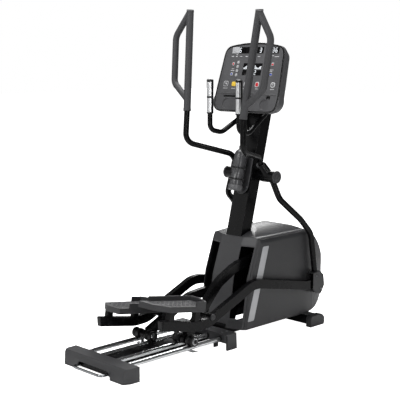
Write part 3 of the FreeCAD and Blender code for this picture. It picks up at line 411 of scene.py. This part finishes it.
def round_edges():
    """Copies of the hard-edged parts, welded, cleared of needless edges and given real round edges."""
    for group, members in ROUNDED.items():
        for side_name in ([""] if group == "root" else SIDES):
            for stem, width in members.items():
                node = NODES[stem + side_name]
                mesh = node.data.copy()
                build = bmesh.new()
                build.from_mesh(mesh)
                bmesh.ops.remove_doubles(build, verts=build.verts, dist=1e-5)
                bmesh.ops.dissolve_limit(build, angle_limit=math.radians(0.5), verts=build.verts,
                                         edges=build.edges)
                for face in build.faces:
                    face.smooth = True
                for edge in build.edges:
                    edge.smooth = edge.calc_face_angle(0) < CREASE
                build.to_mesh(mesh)
                build.free()
                piece = bpy.data.objects.new(node.name + "_rounded", mesh)
                bpy.context.scene.collection.objects.link(piece)
                bevel = piece.modifiers.new("round", "BEVEL")
                bevel.width = width * MM
                bevel.segments = 3
                bevel.limit_method = "ANGLE"
                bevel.angle_limit = BEVEL_FROM
                bevel.use_clamp_overlap = True
                bevel.harden_normals = True
                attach(piece, "root" if group == "root" else group + side_name)
                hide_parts(node.name)


# ------------------------------------------------------------------ rest positions of the moving parts
# In millimetres and degrees: the handles' pivot, then on each side the pedal arm's pivot and tilt, the
# roller axle and the link's foot.
PIVOT_X, PIVOT_Z = 341.5, 892
REST = {"right": {"joint": (-197.0, 213.9), "arm_tilt": 2.31, "roller": -282.5, "foot": (665.3, 248.6)},
        "left": {"joint": (-248.4, 172.7), "arm_tilt": 3.46, "roller": -374.0, "foot": (613.0, 224.8)}}
DESIGN_SWING = math.degrees(math.atan2(324, 643.4))
for side_name, rest in REST.items():
    lean = math.degrees(math.atan2(rest["foot"][0] - PIVOT_X, PIVOT_Z - rest["foot"][1]))
    rest["swing_turn"] = DESIGN_SWING - lean
CONSOLE = {"origin": (317, 0, 1430), "turn": 15.5}


# ------------------------------------------------------------------ console
def face_outline(inset):
    """The console's face: slightly bowed top, rounded corners, straight sides that spread downwards."""
    w, top, low = 236 - inset, 200 - inset, -192 + inset
    crown = [(y, top - 16 * (y / (w - 62)) ** 2) for y in np.linspace(0, -(w - 62), 7)]
    half = crown + [(-w + 44, top - 21), (-w + 30, top - 30), (-w + 21, top - 44), (-w + 16, top - 62),
                    (-w, -100), (-w + 2, low + 60), (-w + 5, low + 32), (-w + 14, low + 14),
                    (-w + 32, low + 5), (-w + 62, low)]
    mirror = [(-y, z) for y, z in half[:0:-1]]
    return softened(half + mirror, 9, 3)


SEGMENTS = {"2": "abged", "3": "abgcd", "6": "afgedc", "8": "abcdefg"}


def digit(value, centre, height, lift):
    """Seven bars: three across and four upright, of which the lit ones are made."""
    w, h = height * 0.5, height / 2
    bar = height * 0.13
    across, upright = (w - bar * 0.6, bar), (bar, h - bar * 0.6)
    spots = {"a": (0, h, across), "g": (0, 0, across), "d": (0, -h, across),
             "b": (-w / 2, h / 2, upright), "c": (-w / 2, -h / 2, upright),
             "f": (w / 2, h / 2, upright), "e": (w / 2, -h / 2, upright)}
    lit = [spots[letter] for letter in SEGMENTS[value]]
    return [slab(box_outline(*spot[2], bar * 0.3, (centre[0] + spot[0], centre[1] + spot[1])),
                 lift, lift + 0.35, 0.1, "user") for spot in lit]


def build_console():
    """Black frame, display windows, lit segments, keys, printed marks, ledge, painted shade in the slots,
    louvres, screws.
    """
    def on_face(name, finish, shapes, **more):
        make(name, "root", finish, shapes, **CONSOLE, **more)

    def plate(width, height, centre, radius=3, low=-0.2, high=0.6, edge=0.25):
        return slab(box_outline(width, height, radius, centre), low, high, edge, "user")

    edge = np.concatenate([face_outline(3.5), face_outline(3.5)[:1]])
    rim_path = np.stack([np.full(len(edge), 0.6), edge[:, 0], edge[:, 1]], -1)
    on_face("console_rim", "gloss_black", [carried(box_outline(4, 9, 1.5), rim_path, (1, 0, 0))])
    on_face("display_windows", "display_glass", [
        plate(86, 37, (72, 157.5)), plate(84, 37, (-26, 157.5)), plate(58, 37, (-150, 157.5)),
        plate(140, 35, (-8, 66)), plate(140, 31, (-8, 30))])
    on_face("display_badge", "silver_lacquer", [plate(52, 36, (141, 157.5))])
    lit = []
    for value, y in (("6", 105), ("3", -46), ("8", -138), ("6", -160)):
        lit += digit(value, (y, 157.5), 24, 0.6)
    lit += digit("2", (-33, 30), 22, 0.6)
    heights = np.array([2, 3, 4, 5, 5, 6, 4, 3, 3, 4, 5, 3, 2, 2, 3, 4])
    column, row = np.meshgrid(np.arange(16), np.arange(7), indexing="ij")
    on = row < heights[:, None]
    dots = np.stack([np.full(on.sum(), 0.0), 54 - 8.2 * column[on], 52 + 4.4 * row[on]], -1)
    lit.append(copies(slab(box_outline(6.6, 3.2, 0.8), 0.6, 0.95, 0.1, "user"), dots))
    on_face("lit_segments", "display_white", lit)
    pale = [plate(20, 20, (140, 79), 9.5, high=1.6, edge=0.7),
            plate(20, 20, (140, 21), 9.5, high=1.6, edge=0.7),
            plate(18, 20, (-152, 79), 7, high=1.6, edge=0.7),
            plate(18, 18, (-152, 21), 8.5, high=1.6, edge=0.7)]
    pale += [plate(19, 17, (104, z), 8, high=1.6, edge=0.7) for z in (88, 64, 40, 16)]
    on_face("white_keys", "white_key", pale)
    on_face("red_keys", "red_key", [plate(20, 22, (-65, -36), 6, high=2.0, edge=0.8),
                                    plate(10, 10, (140, 79), 4.8, high=2.0),
                                    plate(13, 10, (-152, 77), 4, high=2.0)])
    on_face("blue_keys", "blue_key", [plate(11, 9, (140, 21), 4, high=2.0),
                                      plate(16, 11, (-152, 21), 5, high=2.0)])
    on_face("yellow_key", "yellow_key", [plate(32, 25, (107, -36), 7, high=1.8, edge=0.7)])
    on_face("key_rings", "pale_print", [plate(28, 29, (-65, -36), 9, high=1.2),
                                        plate(34, 30, (169, -35), 8)])
    on_face("outlined_keys", "console_abs_grey", [
        plate(29, 25, (169, -35), 6, high=1.4, edge=0.6),
        plate(20, 20, (-180, -36), 9.5, high=1.9, edge=0.6)])
    fan = [plate(31, 31, (-180, -36), 15, high=1.0)]
    on_face("fan_key", "pale_print", fan + [
        plate(14, 3, (169, -32), 1, high=1.9), plate(3, 12, (165, -36), 1, high=1.9),
        plate(12, 2.4, (-180, -36), 1, high=2.3), plate(2.4, 12, (-180, -36), 1, high=2.3)])
    dashes = [(156, 122, 19), (126, 122, 14), (94, 122, 17), (126, 134, 12), (-40, 122, 17),
              (-141, 126, 14), (-171, 121, 33), (138, 51, 18), (138, 41, 27), (-150, 47, 28),
              (-148, 39, 20), (168, -61, 34), (107, -61, 31), (-67, -60, 20), (-180, -61, 28),
              (50, 122, 20), (20, -61, 24)]
    on_face("label_dashes", "pale_print", [plate(w, 3.0, (y, z), 1, high=0.35, edge=0.1)
                                           for y, z, w in dashes])
    on_face("centre_key", "white_key", [plate(27, 24, (20, -36), 7, high=1.6, edge=0.7)])
    ledge = np.stack([np.full(60, -0.3), np.linspace(-214, 214, 60),
                      -88 + 2.5 * np.cos(np.linspace(-3, 3, 60))], -1)
    on_face("lower_ledge", "console_abs_grey", [carried(ring_outline(2.2, 10), ledge, (1, 0, 0))])
    # Black sheets set back in the slot and the port: painted shade inside them.
    on_face("slot_painted_shade", "gloss_black", [
        slab(box_outline(252, 9.6, 2, (43, -105.5)), -8.6, -5, 0.4, "user"),
        slab(box_outline(24, 17, 2, (-163, -106.5)), -8.6, -5, 0.4, "user")])
    rear = 68
    vents = np.stack([np.zeros(14), np.tile(np.linspace(-150, 150, 7), 2), np.repeat([60, 110], 7)], -1)
    louvre = slab(box_outline(34, 5, 2.4), rear - 0.6, rear + 0.8, 0.5, "front")
    on_face("rear_louvres", "gloss_black", [copies(louvre, vents)])
    heads = [(0, y, z) for y in (-190, 190) for z in (-150, 130)]
    head = [(0, rear + 1.6), (3.5, rear + 1.5), (4.5, rear + 0.6), (4.5, rear - 1), (0, rear - 1)]
    on_face("rear_screws", "turned_steel", [copies(turned(head, (0, 0, 0), "front", 20), heads)])


# ------------------------------------------------------------------ pedals
def inside(points, outline):
    """True for points within a closed outline: an odd number of its edges cross the ray along +X."""
    a, b = outline, np.roll(outline, -1, 0)
    y = points[:, None, 1]
    spans = (a[None, :, 1] > y) != (b[None, :, 1] > y)
    rise = np.where(b[:, 1] == a[:, 1], 1e-9, b[:, 1] - a[:, 1])
    cross = a[None, :, 0] + (y - a[None, :, 1]) * ((b[:, 0] - a[:, 0]) / rise)[None]
    return (spans & (points[:, None, 0] < cross)).sum(1) % 2 == 1


def build_pedal(name, side):
    """Herringbone bars inside the tread's outline and three bolts, in the pedal's own frame."""
    rest = REST[name]
    inner, outer = 42, 225
    pitch = 12 - rest["arm_tilt"]
    origin = put((-341, 0, 131), (rest["joint"][0], 0, rest["joint"][1]), -rest["arm_tilt"])
    area = np.array([(26, inner + 24), (336, inner + 24), (344, inner + 52), (298, outer - 34),
                     (284, outer - 24), (66, outer - 24), (30, outer - 78)], float)
    u, v = np.meshgrid(np.arange(14, 360, 15.0), np.arange(inner + 20, outer - 8, 15.0), indexing="ij")
    centres = np.stack([u.ravel(), v.ravel()], -1)
    odd = ((np.round(u / 15) + np.round(v / 15)) % 2).ravel() == 1
    shapes = []
    for flag, angle in ((odd, 45), (~odd, -45)):
        chosen = centres[flag]
        chosen = chosen[inside(chosen, area)]
        c, s = math.cos(math.radians(angle)), math.sin(math.radians(angle))
        bar = box_outline(17, 4.2, 1.5) @ np.array([(c, s), (-s, c)])
        places = np.concatenate([chosen * (1, side), np.zeros((len(chosen), 1))], 1)
        shapes.append(copies(slab(bar, -0.3, 1.7, 0.7, "up"), places))
    make("tread_bars_" + name, "pedal_arm_" + name, "tread_rubber", shapes, origin, pitch)
    bolts = [(40, side * (inner + 30), 1.2), (322, side * (inner + 30), 1.2),
             (50, side * (outer - 60), 1.2)]
    head = [(0, 0.6), (2.6, 0.6), (2.8, 1.4), (5.2, 1.2), (6, 0.2), (6, -1.6), (0, -1.6)]
    make("pedal_bolts_" + name, "pedal_arm_" + name, "turned_steel",
         [copies(turned(head, (0, 0, 0), "up", 24), bolts)], origin, pitch)


# ------------------------------------------------------------------ rails, rollers and base
def cap_screw(radius, depth):
    """Profile of a low domed head with a round dimple."""
    return [(0, depth * 0.45), (radius * 0.4, depth * 0.45), (radius * 0.46, depth),
            (radius * 0.8, depth * 0.92), (radius, depth * 0.5), (radius, -1), (0, -1)]


def build_rollers(name, side):
    """Axle nut, a bright ring on each end face and raised lips at the edges of both rollers."""
    x, z = REST[name]["roller"], 90.5
    facing = name
    near, far = RODS_Y[2:]
    half_width = 23
    outer = far + half_width
    hub = [(0, 9.4), (4, 9.4), (5, 8), (9, 7.6), (10.5, 6.4), (10.5, 5.4), (0, 5.4)]
    make("axle_nut_" + name, "carriage_" + name, "glass_filled_nylon",
         [turned(hub, (x, side * outer, z), facing, 32)])
    ring = [(10.8, 1.0), (11.4, 2.6), (16.6, 2.6), (17.8, 1.4), (17.8, -0.4), (10.8, -0.4), (10.8, 1.0)]
    other = "left" if name == "right" else "right"
    inner = near - half_width
    make("roller_rings_" + name, "rollers_" + name, "hard_chrome", [
        turned(ring, (x, side * outer, z), facing, 40), turned(ring, (x, side * inner, z), other, 40)])
    tread = [loop_ring(26.2, 1.6, (x, side * (row + lip), z), facing)
             for row in (near, far) for lip in (-20.5, 20.5)]
    make("roller_lips_" + name, "rollers_" + name, "glass_filled_nylon", tread)


def build_base():
    """Ferrules where the rods enter the cross bridge, bridge bolts and wheel hubs."""
    ferrule = [(12.6, 0), (12.6, 9), (15, 9), (16.4, 7.5), (16.4, 0), (12.6, 0)]
    shapes = []
    for y in RODS_Y:
        local = turned(ferrule, (0, 0, 0), "up", 32)
        points = local[0][:, [2, 1, 0]] * (-1, 1, 1) + (-75, y, 58)
        shapes.append((points, local[1]))
    make("rod_ferrules", "root", "glass_filled_nylon", shapes)
    bolts = [(x, y, 88) for x in (-56, -20) for y in RODS_Y]
    make("bridge_bolts", "root", "turned_steel",
         [copies(turned(cap_screw(6.5, 3.6), (0, 0, 0), "up", 24), bolts)])
    for name, side in SIDES.items():
        make("wheel_hub_" + name, "transport_wheel_" + name, "glass_filled_nylon", [
            turned([(0, 2.2), (8, 2.2), (9, 1.2), (20, 0.6), (21, -0.6), (0, -0.6)],
                   (690, side * 233, 34), name, 36)])


# ------------------------------------------------------------------ bottle, swings, arms, trim, grips
def build_bottle():
    """Bottle, cup, two rings with tabs, back plate and screws, in the leaning mast's frame."""
    mast_foot_x, mast_foot_z, bottle_z = 68, 60, 802
    base_x = mast_foot_x + (bottle_z - mast_foot_z) * math.tan(math.radians(MAST_LEAN))
    where = {"origin": (base_x, 0, bottle_z), "turn": MAST_LEAN}
    middle = (-54, 0, 0)
    body = [(0, 4), (31, 4), (35, 7), (36, 12), (36, 66), (34.6, 71), (34.6, 112), (36, 117), (36, 196),
            (35, 206), (31, 216), (23, 225), (17.5, 229), (17, 236), (18, 237), (18, 249), (15, 250),
            (0, 250)]
    make("bottle_body", "bottle", "bottle_polyethylene", [turned(body, middle, "up", 64)],
         stands_for=["bottle"], **where)
    cup = [(0, 0), (36, 0), (39.4, 2.5), (40, 6), (40, 27), (39.2, 30), (37, 30), (36.7, 27), (36.7, 3.6),
           (0, 3.6)]
    make("bottle_cup", "root", "blasted_nylon", [turned(cup, middle, "up", 64)], **where)
    shapes = []
    for level in (58, 120):
        band = [(36.7, level), (39, level), (40, level + 1.5), (40, level + 7.5), (39, level + 9),
                (36.7, level + 9), (36.7, level)]
        shapes.append(turned(band, middle, "up", 64))
        shapes += [slab(box_outline(15, 8, 2, (side * 46, level + 4.5)), 48, 58, 1, "user")
                   for side in SIDES.values()]
        shapes.append(slab(box_outline(18, 8, 1, (0, level + 4.5)), 5, 16, 0.6, "user"))
    shapes.append(slab(box_outline(18, 24, 1, (0, 15)), 5, 16, 0.6, "user"))
    make("bottle_cage_rings", "root", "glass_filled_nylon", shapes, stands_for=["bottle_cage"], **where)
    plate = softened([(-50, 215), (-50, 26), (-26, -12), (26, -12), (50, 26), (50, 215)], 22, 8)
    make("bottle_plate", "root", "textured_abs_cover", [slab(plate, 0.05, 6, 2, "user")], **where)
    screws = [(0, y, z) for y in (-40, 40) for z in (30, 200)]
    head = [(0, 8.2), (3, 8.2), (4.6, 7.2), (4.6, 5.6), (0, 5.6)]
    make("plate_screws", "root", "turned_steel", [copies(turned(head, (0, 0, 0), "user", 20), screws)],
         **where)


def build_swing(name, side):
    """Hub disc, collar rim, sleeve cuff, bar tip and foot screws, turned with the swing at rest."""
    rest = REST[name]
    where = {"origin": (PIVOT_X, 0, PIVOT_Z), "turn": rest["swing_turn"]}
    body = "swing_" + name
    cap = [(0, 188.4), (10, 188.4), (11.5, 189.2), (13, 188.4), (28, 188.2), (30, 190), (33, 190),
           (34.5, 188), (34.5, 181), (33.5, HUB_BASE), (0, HUB_BASE)]
    make("hub_disc_" + name, body, "textured_abs_cover", [turned(cap, (0, 0, 0), name, 64)],
         stands_for=["hub_cap_" + name], **where)
    axis = np.array([58.0, -66 * side, -126.0])
    axis /= np.linalg.norm(axis)
    top = np.array([-29.0, 97 * side, 63.0])
    around = np.stack([top + axis * t for t in np.linspace(-1.5, 3.5, 8)])
    bead = carried(ring_outline(27.4, 36), around, (0, 1, 0))
    make("collar_rim_" + name, body, "powder_coat_grey", [bead], **where)

    def on_bar(height):
        low, high = 343, 900
        part = (height - low) / (high - low)
        return np.array([-315 + part * 46, side * (224 + part * 66), height])

    ends = np.stack([on_bar(h) for h in np.linspace(334, 348, 8)])
    make("sleeve_cuff_" + name, body, "dipped_foam",
         [carried(ring_outline(21.4, 36), ends, (0, 1, 0))], **where)
    tip = np.stack([on_bar(h) for h in np.linspace(884, 889.5, 6)])
    make("bar_tip_" + name, body, "tip_cap_grey",
         [carried(ring_outline(20.9, 36), tip, (0, 1, 0))], **where)
    foot_x = LINK_LENGTH * math.sin(math.radians(DESIGN_SWING))
    foot_z = -LINK_LENGTH * math.cos(math.radians(DESIGN_SWING))
    spots = [(foot_x - 14, side * 232, foot_z + 46), (foot_x + 26, side * 232, foot_z - 34)]
    make("foot_screws_" + name, body, "turned_steel",
         [copies(turned(cap_screw(5, 3), (0, 0, 0), name, 24), spots)], **where)


def build_arms(name, side):
    """Pivot cap and end plug of the pedal arm, tilted with it."""
    rest = REST[name]
    where = {"origin": (rest["joint"][0], 0, rest["joint"][1]), "turn": -rest["arm_tilt"]}
    boss = [(0, 6), (7, 6), (8, 7.5), (13, 7.2), (15, 5.4), (16.5, 2), (16.5, -1), (0, -1)]
    make("pivot_cap_" + name, "pedal_arm_" + name, "textured_abs_charcoal",
         [turned(boss, (0, side * 224, 0), name, 40)], **where)
    tail = slab(box_outline(27, 46, 4, (0, 33.5)), 351, 353.5, 1, "user")
    shifted = (tail[0] + (0, side * ARM_Y, 0), tail[1])
    make("arm_end_plug_" + name, "pedal_arm_" + name, "glass_filled_nylon", [shifted], **where)


def build_housing_trim():
    """Leaning silver strips on the housing's sides, one piece each side."""
    strip = softened([(120, 115), (170, 115), (289.5, 517), (240.5, 517)], 9, 6)
    for name in SIDES:
        make("trim_strip_" + name, "root", "silver_lacquer", [slab(strip, 179.6, 181.5, 0.7, name)],
             stands_for=["trim_strips"] if name == "right" else ())


def build_welds():
    """Fillet welds where the cross tube meets the mast's sides."""
    fillet = [(30, 0), (34, 1.2), (33.4, 4), (31, 6.5), (30, 7), (30, 0)]
    for name, side in SIDES.items():
        ring = turned(fillet, (PIVOT_X, side * 38, PIVOT_Z), name, 44)
        make("cross_tube_weld_" + name, "root", "powder_coat_black", [ring])


def build_grips():
    """Black backs, top caps and bands of the pulse sleeves, a little proud of the steel plates."""
    a = np.radians(np.linspace(-108, 108, 30))
    section = np.concatenate([np.stack([18.9 * np.cos(a), 18.9 * np.sin(a)], -1),
                              np.stack([17.2 * np.cos(a[::-1]), 17.2 * np.sin(a[::-1])], -1)])
    grip_x, grip_y = 117.5, 108.0
    heights = np.linspace(1239, 1421, 24)
    for name, side in SIDES.items():
        foot = (grip_x, side * grip_y, 0)
        path = np.stack([np.full(24, grip_x), np.full(24, side * grip_y), heights], -1)
        cap = [(0, 1428), (9, 1427.2), (15, 1424.6), (18.2, 1421.4), (18.6, 1418), (18.6, 1412.5),
               (0, 1412.5)]
        bands = [[(17.4, low), (19.1, low + 0.8), (19.1, low + 6.6), (17.4, low + 7.4), (17.4, low)]
                 for low in (1325, 1238.5)]
        shapes = [carried(section, path, (1, 0, 0)), turned(cap, foot, "up", 40)]
        shapes += [turned(band, foot, "up", 40) for band in bands]
        make("grip_back_" + name, "root", "glass_filled_nylon", shapes)


# ------------------------------------------------------------------ floor
def build_floor():
    """Large matt sheet, lit from within for the camera alone so that it meets the background."""
    reach, glow = 30, 1.2
    mesh = bpy.data.meshes.new("floor")
    corners = [(-reach, -reach, 0), (reach, -reach, 0), (reach, reach, 0), (-reach, reach, 0)]
    mesh.from_pydata(corners, [], [(0, 1, 2, 3)])
    floor = bpy.data.objects.new("floor", mesh)
    bpy.context.scene.collection.objects.link(floor)
    # Matt white painted board.
    paint = moulding("matt_white_floor", "#fbfbfb", "#ffffff", 0.8, 4.0, 0.02)
    mesh.materials.append(paint)
    tree = paint.node_tree
    shader = next(node for node in tree.nodes if node.type == "BSDF_PRINCIPLED")
    shader.inputs["Emission Color"].default_value = (1, 1, 1, 1)
    seen = add(tree, "ShaderNodeLightPath").outputs["Is Camera Ray"]
    shade = add(tree, "ShaderNodeMapRange", {"To Min": 0.0, "To Max": glow}, {"Value": seen})
    tree.links.new(shade.outputs[0], shader.inputs["Emission Strength"])


# ------------------------------------------------------------------ the whole scene
build_camera()
build_studio()
build_materials()
finish_nodes()
round_edges()
build_console()
build_base()
build_bottle()
build_housing_trim()
build_grips()
build_welds()
for side_name, side_sign in SIDES.items():
    build_pedal(side_name, side_sign)
    build_rollers(side_name, side_sign)
    build_swing(side_name, side_sign)
    build_arms(side_name, side_sign)
build_floor()
